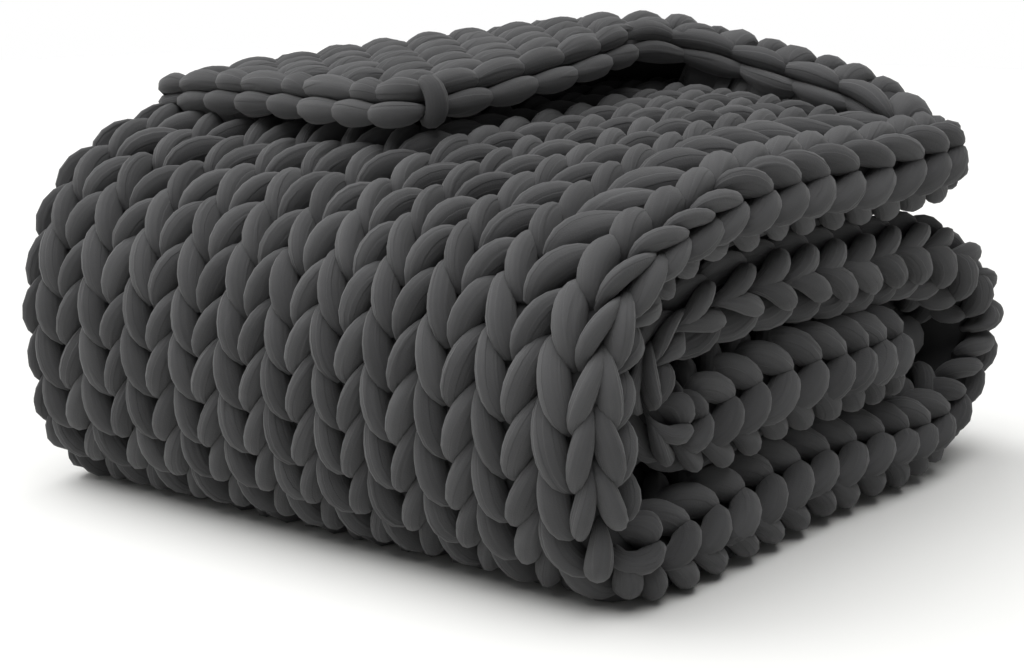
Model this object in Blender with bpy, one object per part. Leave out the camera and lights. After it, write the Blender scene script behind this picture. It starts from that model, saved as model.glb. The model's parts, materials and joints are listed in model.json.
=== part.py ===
"""Folded chunky-knit weighted blanket, as one closed solid of its folded cloth.

The blanket was folded once lengthwise, so each layer is a doubled slab with round ends at left and right.
The slab is then folded over and over: top layer, front fold, bottom layer, rear fold, third layer,
inner front fold, inner layer. One corner of the upper sheet is turned back over the top as a flap,
and the rear edge beside it stands up as a lip.

Metres, +Z up, front towards -Y. The origin is the bottom centre of the bounding box.
"""

import bmesh
import bpy
import numpy as np

# Driving sizes of the knitting, in metres.
WALE_PITCH = 0.050  # width of one column of V stitches
ROW_PITCH = 0.039  # height of one row of stitches
GROOVE_DEPTH = 0.004  # soft groove between two columns

# The doubled slab.
WALES_ON_FACE = 10  # columns on the flat face of a layer, between its round ends
FACE_RIGHT = 0.238  # X where the flat face ends and the round right-hand end begins
FACE_LEFT = FACE_RIGHT - WALES_ON_FACE * WALE_PITCH
LEFT_REACH = 0.85  # how far the left-hand ends bulge, as a share of half the thickness
NOSE_STEPS = 6  # faces round each end of a layer, from its upper to its lower face
RING_SPACING = ROW_PITCH  # one section of the slab to a row of stitches along its straight stretches
TURN_SPACING = 0.075  # metres of straight that one radian of turn counts as, so that folds get more sections
END_CLOSING = (0.40, 0.72, 0.94)  # sections that round off the slab's first and last end, as shares of its radius
FLAT_BASE = 0.003  # how far the bottom layer is pressed flat on the surface

# The lie of the heap.
LEFT_RISE = 0.108  # how much higher the left is than the right, as a share of the height
BELLY_SWELL = 0.006  # how far the middle of the front bulges
BELLY_WIDTH = 0.60
BELLY_HEIGHT = 0.30
RIPPLE = 0.0035  # soft waves of the whole heap: sideways ones seen from above, and upright ones above the base
SIDE_WAVE_Y = 0.34
SIDE_WAVE_Z = 0.27
UPRIGHT_WAVE_X = 0.29
UPRIGHT_WAVE_Y = 0.41
UPRIGHT_WAVE_START = 0.8  # radians
STILL_BELOW = 0.15  # the upright waves fade out below this height, so that the base stays flat

# The folded section. Y and Z are the middle of a layer, thickness is across it, and reach is how far
# its right-hand end bulges past the flat face, as a share of half the thickness.
SECTION = (
    # place                        y       z    thickness reach
    ("top layer, rear end", 0.429, 0.2560, 0.068, 1.00),
    ("top layer, rear", 0.380, 0.2560, 0.073, 1.05),
    ("top layer, middle", 0.290, 0.2545, 0.070, 1.05),
    ("top layer, front half", 0.196, 0.2520, 0.064, 1.10),
    ("top layer, front", 0.115, 0.2450, 0.062, 1.10),
    ("front fold, shoulder", 0.056, 0.2300, 0.061, 1.10),
    ("front fold, brow", 0.009, 0.2110, 0.063, 1.10),
    ("front fold, upper", -0.025, 0.1800, 0.063, 1.10),
    ("front fold, belly", -0.040, 0.1400, 0.064, 1.10),
    ("front fold, lower", -0.040, 0.0980, 0.064, 1.15),
    ("front fold, heel", -0.029, 0.0560, 0.064, 1.15),
    ("bottom layer, toe", 0.005, 0.0310, 0.065, 1.20),
    ("bottom layer, front", 0.068, 0.0300, 0.065, 1.20),
    ("bottom layer, middle", 0.172, 0.0320, 0.069, 1.15),
    ("bottom layer, rear half", 0.284, 0.0330, 0.070, 1.15),
    ("bottom layer, rear", 0.372, 0.0360, 0.068, 1.15),
    ("rear fold, lower", 0.436, 0.0500, 0.065, 1.20),
    ("rear fold, heel", 0.479, 0.0780, 0.067, 1.20),
    ("rear fold, belly", 0.495, 0.1130, 0.070, 1.15),
    ("rear fold, upper", 0.476, 0.1460, 0.066, 1.15),
    ("rear fold, shoulder", 0.432, 0.1710, 0.061, 1.10),
    ("third layer, rear", 0.372, 0.1830, 0.062, 1.00),
    ("third layer, middle", 0.280, 0.1850, 0.060, 0.95),
    ("third layer, front half", 0.184, 0.1850, 0.058, 0.95),
    ("third layer, front", 0.112, 0.1790, 0.053, 0.95),
    ("inner front fold, top", 0.068, 0.1695, 0.049, 0.95),
    ("inner front fold, brow", 0.042, 0.1580, 0.048, 0.95),
    ("inner front fold, tip", 0.033, 0.1370, 0.047, 0.95),
    ("inner front fold, foot", 0.043, 0.1160, 0.048, 0.95),
    ("inner front fold, heel", 0.069, 0.1050, 0.052, 0.95),
    ("inner layer, front", 0.112, 0.1060, 0.068, 0.95),
    ("inner layer, middle", 0.190, 0.1105, 0.075, 0.90),
    ("inner layer, rear", 0.290, 0.1115, 0.075, 0.90),
    ("inner layer, rear end", 0.370, 0.1090, 0.069, 0.85),
)

# The turned-back corner and the lip beside it, from left to right. Ridge is the highest line of the
# fold, and edge is the lower side of the cloth's free border.
FLAP = (
    # place                  ridge x      y      z     edge x      y      z   thickness
    ("left end", -0.279, 0.112, 0.327, -0.272, 0.072, 0.296, 0.028),
    ("left border", -0.255, 0.160, 0.333, -0.215, 0.066, 0.292, 0.033),
    ("left border", -0.224, 0.208, 0.339, -0.135, 0.062, 0.289, 0.037),
    ("near the corner", -0.192, 0.252, 0.347, -0.060, 0.054, 0.288, 0.039),
    ("corner", -0.160, 0.290, 0.353, 0.010, 0.058, 0.288, 0.040),
    ("right border", -0.124, 0.332, 0.358, 0.024, 0.140, 0.293, 0.040),
    ("right border", -0.084, 0.371, 0.362, 0.030, 0.215, 0.301, 0.039),
    ("right border", -0.038, 0.396, 0.365, 0.030, 0.285, 0.311, 0.038),
    ("right end", 0.006, 0.417, 0.363, 0.022, 0.355, 0.320, 0.036),
    ("lip", 0.050, 0.430, 0.353, 0.056, 0.392, 0.318, 0.034),
    ("lip", 0.100, 0.434, 0.341, 0.102, 0.397, 0.308, 0.033),
    ("lip", 0.150, 0.434, 0.329, 0.150, 0.398, 0.296, 0.032),
    ("lip", 0.195, 0.430, 0.317, 0.193, 0.396, 0.286, 0.031),
    ("lip, right end", 0.232, 0.420, 0.299, 0.228, 0.388, 0.274, 0.028),
)
FLAP_HOLLOW = 0.008  # free radius inside the fold
FLAP_FOOT = 0.030  # how far the back of the fold runs down into the slab
FLAP_STATIONS = 0.030  # distance between two lines of the flap's cloth, along the ridge
FLAP_TURN_STEPS = 4  # faces round the fold
FLAP_SPAN = (0, 0.11, 0.22, 0.34, 0.45, 0.56, 0.68, 0.79, 0.90, 0.97, 1)  # places from the ridge to the border
FLAP_DROOP = 1.2  # over 1, the cloth leaves the ridge level and droops towards its border
BORDER_THINNING = {-2: 0.90, -1: 0.55}  # share of the thickness left at the last two places, for a round border
END_THINNING = 0.55  # share of the thickness left at the flap's two ends
SHARP_EDGE = 50  # degrees


def columns(table):
    """The numbers of a table, without the names of its rows."""
    return np.array([row[1:] for row in table])


def smooth_curve(points, spacing, turn_spacing=0.0):
    """Rows about this far apart, and closer in the turns, on a smooth curve whose first columns are Y and Z."""
    padded = np.vstack([2 * points[0] - points[1], points, 2 * points[-1] - points[-2]])
    fine = []
    for before, start, end, after in zip(padded, padded[1:], padded[2:], padded[3:]):
        for t in np.linspace(0, 1, 24, endpoint=False):
            square = 2 * before - 5 * start + 4 * end - after
            cubic = 3 * (start - end) + after - before
            fine.append(start + 0.5 * t * (end - before + t * (square + t * cubic)))
    fine = np.array([*fine, points[-1]])
    moves = np.diff(fine[:, :2], axis=0)
    heading = np.unwrap(np.arctan2(moves[:, 1], moves[:, 0]))
    turns = np.abs(np.diff(heading, prepend=heading[0]))
    along = np.concatenate([[0], np.cumsum(np.linalg.norm(moves, axis=1) + turn_spacing * turns)])
    stops = np.linspace(0, along[-1], max(2, round(along[-1] / spacing) + 1))
    return np.column_stack([np.interp(stops, along, column) for column in fine.T])


def unit(vectors):
    return vectors / np.linalg.norm(vectors, axis=-1, keepdims=True)


def heap(points):
    """The lean, the swollen belly and the soft waves that the whole folded heap has."""
    x, y, z = np.moveaxis(np.asarray(points, float), -1, 0)
    leftness = (FACE_RIGHT - x) / (FACE_RIGHT - FACE_LEFT)
    swell = np.cos(np.pi * x / BELLY_WIDTH) * np.sin(np.pi * np.clip(z / BELLY_HEIGHT, 0, 1))
    side_wave = np.sin(2 * np.pi * (y / SIDE_WAVE_Y + z / SIDE_WAVE_Z))
    upright_wave = np.sin(2 * np.pi * (x / UPRIGHT_WAVE_X + y / UPRIGHT_WAVE_Y) + UPRIGHT_WAVE_START)
    upright_wave *= np.clip(z / STILL_BELOW, 0, 1)
    return np.stack(
        [
            x + RIPPLE * side_wave,
            y - BELLY_SWELL * swell,
            z * (1 + LEFT_RISE * leftness) + RIPPLE * upright_wave,
        ],
        axis=-1,
    )


def slab_ring(middle, outward, thickness, reach, shrink):
    """One loop round the slab. It starts at the left tip and runs along the outer face to the right."""
    half = thickness / 2 * shrink
    drawn_in = thickness / 2 * (1 - shrink)
    face_steps = 2 * WALES_ON_FACE
    loop = []
    for k in range(NOSE_STEPS // 2):
        turn = np.pi / 2 * k / (NOSE_STEPS // 2)
        loop.append((FACE_LEFT - LEFT_REACH * half * np.cos(turn), np.sin(turn)))
    for k in range(face_steps + 1):
        between_columns = k % 2 == 0 and 0 < k < face_steps
        groove = 2 * GROOVE_DEPTH / thickness if between_columns else 0
        loop.append((FACE_LEFT + WALE_PITCH * k / 2, 1 - groove))
    for k in range(1, NOSE_STEPS // 2 + 1):
        turn = np.pi / 2 * k / (NOSE_STEPS // 2)
        loop.append((FACE_RIGHT + reach * half * np.sin(turn), np.cos(turn)))
    lower = [(x, -height) for x, height in loop[-2:0:-1]]
    points = []
    centre = (FACE_LEFT + FACE_RIGHT) / 2
    for x, height in [*loop, *lower]:
        x -= drawn_in * np.clip(2 * (x - centre) / (FACE_RIGHT - FACE_LEFT), -1, 1)
        y, z = middle + outward * height * half
        points.append((x, y, z))
    return np.array(points)


def slab_rings():
    """The loops of the whole slab, from the rear end of the top layer to the rear end of the inner one."""
    curve = smooth_curve(columns(SECTION), RING_SPACING, TURN_SPACING)
    along = np.concatenate([[0], np.cumsum(np.linalg.norm(np.diff(curve[:, :2], axis=0), axis=1))])
    forward = unit(np.gradient(curve[:, :2], along, axis=0))
    outward = np.column_stack([forward[:, 1], -forward[:, 0]])
    rings = []
    first_radius, last_radius = curve[0, 2] / 2, curve[-1, 2] / 2
    for share in reversed(END_CLOSING):
        rings.append((0, -forward[0] * first_radius * share, np.sqrt(1 - share**2)))
    rings += [(k, np.zeros(2), 1.0) for k in range(len(curve))]
    for share in END_CLOSING:
        rings.append((len(curve) - 1, forward[-1] * last_radius * share, np.sqrt(1 - share**2)))
    return [slab_ring(curve[k, :2] + past, outward[k], *curve[k, 2:], shrink) for k, past, shrink in rings]


def mesh_object(name, points, faces):
    mesh = bpy.data.meshes.new(name)
    mesh.from_pydata([tuple(point) for point in points], [], faces)
    work = bmesh.new()
    work.from_mesh(mesh)
    bmesh.ops.recalc_face_normals(work, faces=work.faces)
    work.to_mesh(mesh)
    work.free()
    made = bpy.data.objects.new(name, mesh)
    bpy.context.scene.collection.objects.link(made)
    return made


def slab_object(name):
    """The loops joined into one closed skin, with each end closed by a strip between its two faces."""
    rings = slab_rings()
    size = len(rings[0])
    faces = []
    for k in range(len(rings) - 1):
        for j in range(size):
            nxt = (j + 1) % size
            faces.append((k * size + j, k * size + nxt, (k + 1) * size + nxt, (k + 1) * size + j))
    for base in (0, (len(rings) - 1) * size):
        faces.append((base, base + 1, base + size - 1))
        for j in range(1, size // 2 - 1):
            faces.append((base + j, base + j + 1, base + size - j - 1, base + size - j))
        faces.append((base + size // 2 - 1, base + size // 2, base + size // 2 + 1))
    points = heap(np.concatenate(rings))
    points[:, 2] = np.maximum(points[:, 2] - FLAT_BASE, 0)
    return mesh_object(name, points, faces)


def flap_middle():
    """A grid of points on the middle of the flap's cloth: one line for each station from left to right."""
    rows = smooth_curve(columns(FLAP), FLAP_STATIONS)
    grid = []
    for ridge_x, ridge_y, ridge_z, edge_x, edge_y, edge_z, thickness in rows:
        ridge = np.array([ridge_x, ridge_y])
        ahead = np.array([edge_x, edge_y]) - ridge
        top = ridge_z - thickness / 2
        radius = thickness / 2 + FLAP_HOLLOW
        line = [(-radius, top - radius - FLAP_FOOT), (-radius, top - radius - FLAP_FOOT / 2)]
        for step in range(FLAP_TURN_STEPS):
            turn = np.pi / 2 * step / FLAP_TURN_STEPS
            line.append((-radius * np.cos(turn), top - radius * (1 - np.sin(turn))))
        span = np.linalg.norm(ahead)
        for share in FLAP_SPAN:
            line.append((span * share, top + (edge_z + thickness / 2 - top) * share**FLAP_DROOP))
        ahead /= span
        points = [(*(ridge + ahead * forward), height) for forward, height in line]
        grid.append((np.array(points), thickness))
    return grid


def flap_object(name):
    """The flap's cloth as a closed sheet, thinner towards its free border and both ends."""
    grid = flap_middle()
    middle = np.array([line for line, _ in grid])
    across = unit(np.gradient(middle, axis=1))
    sideways = unit(np.gradient(middle, axis=0))
    normal = unit(np.cross(sideways, across))
    count_a, count_b = middle.shape[:2]
    half = np.array([thickness / 2 for _, thickness in grid])[:, None] * np.ones(count_b)
    for place, share in BORDER_THINNING.items():
        half[:, place] *= share
    half[0] *= END_THINNING
    half[-1] *= END_THINNING
    upper = middle + normal * half[..., None]
    lower = middle - normal * half[..., None]
    points = np.concatenate([upper.reshape(-1, 3), lower.reshape(-1, 3)])
    shift = count_a * count_b
    faces = []
    for a in range(count_a - 1):
        for b in range(count_b - 1):
            corner = a * count_b + b
            quad = (corner, corner + 1, corner + count_b + 1, corner + count_b)
            faces.append(quad)
            faces.append(tuple(shift + index for index in reversed(quad)))
    rim = list(range(count_b))
    rim += [a * count_b + count_b - 1 for a in range(1, count_a)]
    rim += [(count_a - 1) * count_b + b for b in range(count_b - 2, -1, -1)]
    rim += [a * count_b for a in range(count_a - 2, 0, -1)]
    for here, there in zip(rim, rim[1:] + rim[:1]):
        faces.append((there, here, shift + here, shift + there))
    return mesh_object(name, points, faces)


def yarn_material():
    """Charcoal stretch-cotton tube yarn: matt, with no metal in it."""
    material = bpy.data.materials.new("charcoal jersey tube yarn")
    material.use_nodes = True
    shader = material.node_tree.nodes["Principled BSDF"]
    shader.inputs["Base Color"].default_value = (0.043, 0.044, 0.047, 1)
    shader.inputs["Roughness"].default_value = 0.85
    shader.inputs["Metallic"].default_value = 0.0
    return material


def stand_on_origin(blanket):
    """Moves the mesh so that the origin is the bottom centre of its bounding box."""
    points = np.array([vertex.co[:] for vertex in blanket.data.vertices])
    low = points.min(axis=0)
    high = points.max(axis=0)
    centre = np.array([(low[0] + high[0]) / 2, (low[1] + high[1]) / 2, low[2]])
    blanket.data.vertices.foreach_set("co", (points - centre).ravel())


def build():
    for old in list(bpy.data.objects):
        bpy.data.objects.remove(old, do_unlink=True)
    slab = slab_object("slab")
    flap = flap_object("flap")
    union = slab.modifiers.new("join the flap", "BOOLEAN")
    union.operation = "UNION"
    union.object = flap
    graph = bpy.context.evaluated_depsgraph_get()
    whole = bpy.data.meshes.new_from_object(slab.evaluated_get(graph))
    whole.name = "folded_blanket"
    for helper in (slab, flap):
        bpy.data.objects.remove(helper, do_unlink=True)
    blanket = bpy.data.objects.new("folded_blanket", whole)
    bpy.context.scene.collection.objects.link(blanket)
    blanket.data.materials.clear()
    blanket.data.materials.append(yarn_material())
    stand_on_origin(blanket)
    blanket.data.shade_smooth()
    blanket.data.set_sharp_from_angle(angle=np.radians(SHARP_EDGE))


build()
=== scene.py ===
"""Folded chunky-knit weighted blanket: the hand-knitted cloth over its folded form."""

import json
import math

import bmesh
import bpy
import numpy as np
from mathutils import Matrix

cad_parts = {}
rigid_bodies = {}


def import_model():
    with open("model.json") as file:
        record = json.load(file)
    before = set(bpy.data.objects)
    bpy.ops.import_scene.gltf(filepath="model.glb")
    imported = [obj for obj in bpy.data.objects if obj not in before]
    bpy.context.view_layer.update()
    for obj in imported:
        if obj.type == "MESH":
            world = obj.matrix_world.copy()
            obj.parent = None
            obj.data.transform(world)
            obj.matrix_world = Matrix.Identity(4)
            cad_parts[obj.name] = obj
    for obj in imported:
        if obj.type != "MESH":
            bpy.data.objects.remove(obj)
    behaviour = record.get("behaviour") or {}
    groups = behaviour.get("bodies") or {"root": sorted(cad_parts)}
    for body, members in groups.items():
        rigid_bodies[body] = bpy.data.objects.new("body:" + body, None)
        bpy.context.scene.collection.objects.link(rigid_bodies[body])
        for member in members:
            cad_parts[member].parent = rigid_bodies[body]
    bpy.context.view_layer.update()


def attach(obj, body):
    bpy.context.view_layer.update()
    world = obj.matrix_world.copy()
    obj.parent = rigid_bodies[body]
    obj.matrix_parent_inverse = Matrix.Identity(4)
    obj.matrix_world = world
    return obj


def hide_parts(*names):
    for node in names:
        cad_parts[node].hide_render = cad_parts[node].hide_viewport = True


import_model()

# ---------------------------------------------------------------------------
# Studio: a white tent on a pale seamless floor, seen by the photograph's
# camera. The key light stands high on the left, the tent's ceiling lights the
# top layer, and its front wall fills the front fold.
# ---------------------------------------------------------------------------


def linear(hex_colour):
    """An sRGB hex colour as the linear RGBA that a shader takes."""
    shares = [int(hex_colour[k:k + 2], 16) / 255 for k in (1, 3, 5)]
    return (*[s / 12.92 if s <= 0.04045 else ((s + 0.055) / 1.055) ** 2.4 for s in shares], 1)


def add(tree, kind, links=None, **settings):
    """A node with its settings. links gives an input's name or number and what feeds it: a socket or a value."""
    node = tree.nodes.new(kind)
    for name, value in settings.items():
        setattr(node, name, value)
    for where, what in (links or {}).items():
        if isinstance(what, bpy.types.NodeSocket):
            tree.links.new(what, node.inputs[where])
        else:
            node.inputs[where].default_value = what
    return node


def new_material(name):
    """A material, its tree and its shader."""
    material = bpy.data.materials.new(name)
    material.use_nodes = True
    return material, material.node_tree, material.node_tree.nodes["Principled BSDF"]


def new_piece(name, points, faces):
    """A smooth mesh, with its place in the mesh."""
    mesh = bpy.data.meshes.new(name)
    mesh.from_pydata([tuple(point) for point in points], [], [tuple(face) for face in faces])
    mesh.shade_smooth()
    made = bpy.data.objects.new(name, mesh)
    bpy.context.scene.collection.objects.link(made)
    return made


FLOOR_HALF = 6.0
floor_corners = [(x * FLOOR_HALF, y * FLOOR_HALF, 0) for x, y in ((-1, -1), (1, -1), (1, 1), (-1, 1))]
floor = new_piece("floor", floor_corners, [(0, 1, 2, 3)])
# Matt paper, nearly white. It takes soft, pale shadows and has no edge in the picture.
floor_material, _, floor_shader = new_material("matt white studio paper")
floor_shader.inputs["Base Color"].default_value = linear("#e4e4e2")
floor_shader.inputs["Roughness"].default_value = 0.9
floor.data.materials.append(floor_material)

LENS, SENSOR = 65.6, 36.0  # in millimetres
LOOKS_DOWN, TURNED_BY = 11.1, 38.1  # the camera's own turns, in degrees
camera_data = bpy.data.cameras.new("camera")
camera_data.sensor_width = SENSOR
camera_data.lens = LENS
camera_data.clip_start = 0.05
camera = bpy.data.objects.new("camera", camera_data)
camera.location = (0.9085, -1.1773, 0.4000)
camera.rotation_euler = (math.radians(90 - LOOKS_DOWN), 0, math.radians(TURNED_BY))
bpy.context.scene.collection.objects.link(camera)
bpy.context.scene.camera = camera

LIGHTS = (
    # light, kind, place, aimed at, angle or size, power
    ("key light, on the left", "SUN", (-2.2, -0.5, 2.1), (0, 0, 0.15), math.radians(50), 0.9),
    ("ceiling of the white tent", "SUN", (-0.2, -0.4, 2.6), (0, 0, 0.2), math.radians(75), 3.7),
    ("front wall of the white tent", "AREA", (-0.9, -2.5, 1.1), (0, 0, 0.15), 2.2, 3),
)
for name, kind, place, aim, size, power in LIGHTS:
    light_data = bpy.data.lights.new(name, kind)
    setattr(light_data, "angle" if kind == "SUN" else "size", size)
    light_data.energy = power
    light = bpy.data.objects.new(name, light_data)
    light.location = place
    towards = np.array(aim) - np.array(place)
    light.rotation_euler = (
        math.acos(-towards[2] / np.linalg.norm(towards)),
        0,
        math.atan2(towards[1], towards[0]) - math.pi / 2,
    )
    bpy.context.scene.collection.objects.link(light)

# The tent's wall behind the blanket is white, and what lies above it and on the other sides is dim.
WALL = (-0.62, 0.78, 0.0)  # the way to the wall
ROOM, WALL_EDGE = 0.35, 0.80  # how nearly a look goes that way where the dim room ends and where the wall is white
WALL_TOP, CEILING = 0.30, 0.55  # how far up a look goes where the wall starts to fade and where all is dim
DIM_ROOM, DIM_CEILING = 0.20, 0.25
world = bpy.data.worlds.new("white studio")
world.use_nodes = True
sky = world.node_tree
way = add(sky, "ShaderNodeTexCoord")
height = add(sky, "ShaderNodeSeparateXYZ", {0: way.outputs["Generated"]})
towards_wall = add(sky, "ShaderNodeVectorMath", {0: way.outputs["Generated"], 1: WALL}, operation="DOT_PRODUCT")
dimming = add(sky, "ShaderNodeMapRange", {"Value": height.outputs[2], 1: WALL_TOP, 2: CEILING, 3: 1.0, 4: DIM_CEILING})
facing = add(
    sky,
    "ShaderNodeMapRange",
    {"Value": towards_wall.outputs["Value"], 1: ROOM, 2: WALL_EDGE, 3: DIM_ROOM, 4: 1.0},
)
glow = add(sky, "ShaderNodeMath", {0: dimming.outputs[0], 1: facing.outputs[0]}, operation="MULTIPLY")
sky.links.new(glow.outputs[0], sky.nodes["Background"].inputs["Strength"])
sky.nodes["Background"].inputs["Color"].default_value = linear("#ffffff")
bpy.context.scene.world = world
bpy.context.scene.view_settings.view_transform = "Standard"

# ---------------------------------------------------------------------------
# The folded form. The cloth is doubled lengthwise into a slab about 65 mm
# thick, and the slab is folded back and forth: top layer, front fold, bottom
# layer, rear fold, third layer, inner front fold, inner layer. The rows give
# the middle of the slab, its thickness and the bulge of its right-hand ends.
# ---------------------------------------------------------------------------

SECTION = (
    # place                        y       z    thickness reach
    ("top layer, rear end", 0.429, 0.2560, 0.068, 1.00),
    ("top layer, rear", 0.380, 0.2560, 0.073, 1.05),
    ("top layer, middle", 0.290, 0.2545, 0.070, 1.05),
    ("top layer, front half", 0.196, 0.2520, 0.064, 1.10),
    ("top layer, front", 0.115, 0.2450, 0.062, 1.10),
    ("front fold, shoulder", 0.056, 0.2300, 0.061, 1.10),
    ("front fold, brow", 0.009, 0.2110, 0.063, 1.10),
    ("front fold, upper", -0.025, 0.1800, 0.063, 1.10),
    ("front fold, belly", -0.040, 0.1400, 0.064, 1.10),
    ("front fold, lower", -0.040, 0.0980, 0.064, 1.15),
    ("front fold, heel", -0.029, 0.0560, 0.064, 1.15),
    ("bottom layer, toe", 0.005, 0.0310, 0.065, 1.20),
    ("bottom layer, front", 0.068, 0.0300, 0.065, 1.20),
    ("bottom layer, middle", 0.172, 0.0345, 0.074, 1.15),
    ("bottom layer, rear half", 0.284, 0.0365, 0.077, 1.15),
    ("bottom layer, rear", 0.372, 0.0385, 0.073, 1.15),
    ("rear fold, lower", 0.436, 0.0500, 0.065, 1.20),
    ("rear fold, heel", 0.479, 0.0780, 0.067, 1.20),
    ("rear fold, belly", 0.495, 0.1130, 0.070, 1.15),
    ("rear fold, upper", 0.476, 0.1460, 0.066, 1.15),
    ("rear fold, shoulder", 0.432, 0.1710, 0.061, 1.10),
    ("third layer, rear", 0.372, 0.1830, 0.062, 1.00),
    ("third layer, middle", 0.280, 0.1850, 0.060, 0.95),
    ("third layer, front half", 0.184, 0.1850, 0.058, 0.95),
    ("third layer, front", 0.112, 0.1790, 0.053, 0.95),
    ("inner front fold, top", 0.068, 0.1695, 0.049, 0.95),
    ("inner front fold, brow", 0.042, 0.1580, 0.048, 0.95),
    ("inner front fold, tip", 0.033, 0.1370, 0.047, 0.95),
    ("inner front fold, foot", 0.042, 0.1140, 0.050, 0.95),
    ("inner front fold, heel", 0.067, 0.1010, 0.057, 0.95),
    ("inner layer, front", 0.112, 0.1030, 0.075, 0.95),
    ("inner layer, middle", 0.190, 0.1120, 0.080, 0.95),
    ("inner layer, rear", 0.290, 0.1145, 0.079, 0.95),
    ("inner layer, rear end", 0.418, 0.1110, 0.070, 0.90),
)
TABLE_ORIGIN = np.array([0.00768, -0.22480, 0.0])  # where the tables' origin lies in the blanket's own frame
WALE_PITCH = 0.050  # width of a column of V stitches
ROW_PITCH = 0.0385  # height of a row of them
FACE_LEFT, FACE_RIGHT = -0.262, 0.238  # the slab's faces are flat between these, and its round ends lie beyond
LEFT_REACH = 0.70  # bulge of the left ends, in half thicknesses, as the reach of the right-hand ends
FLAT_BASE = 0.003  # the weight presses the lowest layer so far down
LEFT_RISE = 0.108  # the heap stands taller on the left by this share
BELLY_SWELL, BELLY_WIDTH, BELLY_HEIGHT = 0.006, 0.60, 0.30  # how far the front swells, and over what size
RIPPLE = 0.0035  # height of the soft waves in the heap
SIDE_WAVE_Y, SIDE_WAVE_Z = 0.34, 0.27  # lengths of the waves that push it sideways
UPRIGHT_WAVE_X, UPRIGHT_WAVE_Y, UPRIGHT_WAVE_START = 0.29, 0.41, 0.8  # lengths and start of those that lift it
UPRIGHT_WAVE_FULL = 0.15  # the lifting waves are full from this height up
WALES_ROUND = 24  # columns of stitches once round the doubled slab
LEFT_LOOP = 2.1  # columns of them round the left end
SPAN_STEPS = 24  # places worked out between two rows of a table

# Where each column of stitches lies on the outer face, as read from the front fold.
WALE_X = (-0.2370, -0.1835, -0.1325, -0.0835, -0.0345, 0.0110, 0.0567, 0.1008, 0.1475, 0.1950, 0.2455)


def unit(vectors):
    return vectors / np.linalg.norm(vectors, axis=-1, keepdims=True)


def smooth_curve(points, spacing):
    """Rows about this far apart on a smooth curve whose first two columns are the place."""
    padded = np.vstack([2 * points[0] - points[1], points, 2 * points[-1] - points[-2]])
    fine = []
    for before, start, end, after in zip(padded, padded[1:], padded[2:], padded[3:]):
        for t in np.linspace(0, 1, SPAN_STEPS, endpoint=False):
            square = 2 * before - 5 * start + 4 * end - after
            cubic = 3 * (start - end) + after - before
            fine.append(start + 0.5 * t * (end - before + t * (square + t * cubic)))
    fine = np.array([*fine, points[-1]])
    along = np.concatenate([[0], np.cumsum(np.linalg.norm(np.diff(fine[:, :2], axis=0), axis=1))])
    stops = np.linspace(0, along[-1], max(2, round(along[-1] / spacing) + 1))
    return np.column_stack([np.interp(stops, along, column) for column in fine.T])


def heap(points):
    """The lean, the swollen belly and the soft waves that the whole folded heap has."""
    x, y, z = np.moveaxis(np.asarray(points, float), -1, 0)
    leftness = (FACE_RIGHT - x) / (FACE_RIGHT - FACE_LEFT)
    swell = np.cos(np.pi * x / BELLY_WIDTH) * np.sin(np.pi * np.clip(z / BELLY_HEIGHT, 0, 1))
    side_wave = np.sin(2 * np.pi * (y / SIDE_WAVE_Y + z / SIDE_WAVE_Z))
    upright_wave = np.sin(2 * np.pi * (x / UPRIGHT_WAVE_X + y / UPRIGHT_WAVE_Y) + UPRIGHT_WAVE_START)
    upright_wave = upright_wave * np.clip(z / UPRIGHT_WAVE_FULL, 0, 1)
    moved = [x + RIPPLE * side_wave, y - BELLY_SWELL * swell, z * (1 + LEFT_RISE * leftness) + RIPPLE * upright_wave]
    return np.stack(moved, axis=-1)


CURVE_STEP = 0.005
spine = smooth_curve(np.array([row[1:] for row in SECTION]), CURVE_STEP)
spine_along = np.concatenate([[0], np.cumsum(np.linalg.norm(np.diff(spine[:, :2], axis=0), axis=1))])
spine_forward = unit(np.gradient(spine[:, :2], spine_along, axis=0))
spine_outward = np.column_stack([spine_forward[:, 1], -spine_forward[:, 0]])
# Rows are evenly spaced on the slab's outer face.
outer_face = spine[:, :2] + spine_outward * spine[:, 2:3] / 2
spine_rows = np.concatenate([[0], np.cumsum(np.linalg.norm(np.diff(outer_face, axis=0), axis=1))]) / ROW_PITCH
LAST_ROW = spine_rows[-1]

left_start = np.interp(FACE_LEFT, [WALE_X[0] - WALE_PITCH, WALE_X[0]], [-1, 0])
INNER_END, LOOP_END = WALES_ROUND + left_start - LEFT_LOOP, WALES_ROUND + left_start

# How the columns lie round the right-hand end of each layer, in degrees from its outer to its inner face.
END_LIE = (
    # place                row   column 10  border  column 11  border
    ("top layer", 0.0, 30, 72, 128, 175),
    ("top layer, front", 9.5, 30, 70, 126, 172),
    ("front fold, brow", 12.0, 19, 55, 103, 150),
    ("front fold", 14.0, 14, 49, 92, 138),
    ("front fold, heel", 17.0, 14, 50, 92, 137),
    ("bottom layer", 19.7, 34, 83, 132, 184),
    ("bottom layer, rear", 27.0, 34, 84, 132, 184),
    ("rear fold", 33.0, 0, 38, 82, 130),
    ("third layer, rear", 38.0, -12, 22, 66, 136),
    ("third layer, front", 46.0, -10, 24, 72, 122),
    ("inner front fold", 50.0, 0, 36, 78, 124),
    ("inner layer", 53.0, 22, 70, 118, 170),
    ("inner layer, rear", 59.0, 22, 70, 118, 170),
)
# The places in columns to which the table's angles belong, from the end of the flat outer face to the inner face.
END_STOPS = (9.5, 10, 10.5, 11, 11.5, INNER_END)
END_START = (-0.018, -0.0177)  # the first of them lies so far from the edge of the flat face, on the top and below
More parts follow.
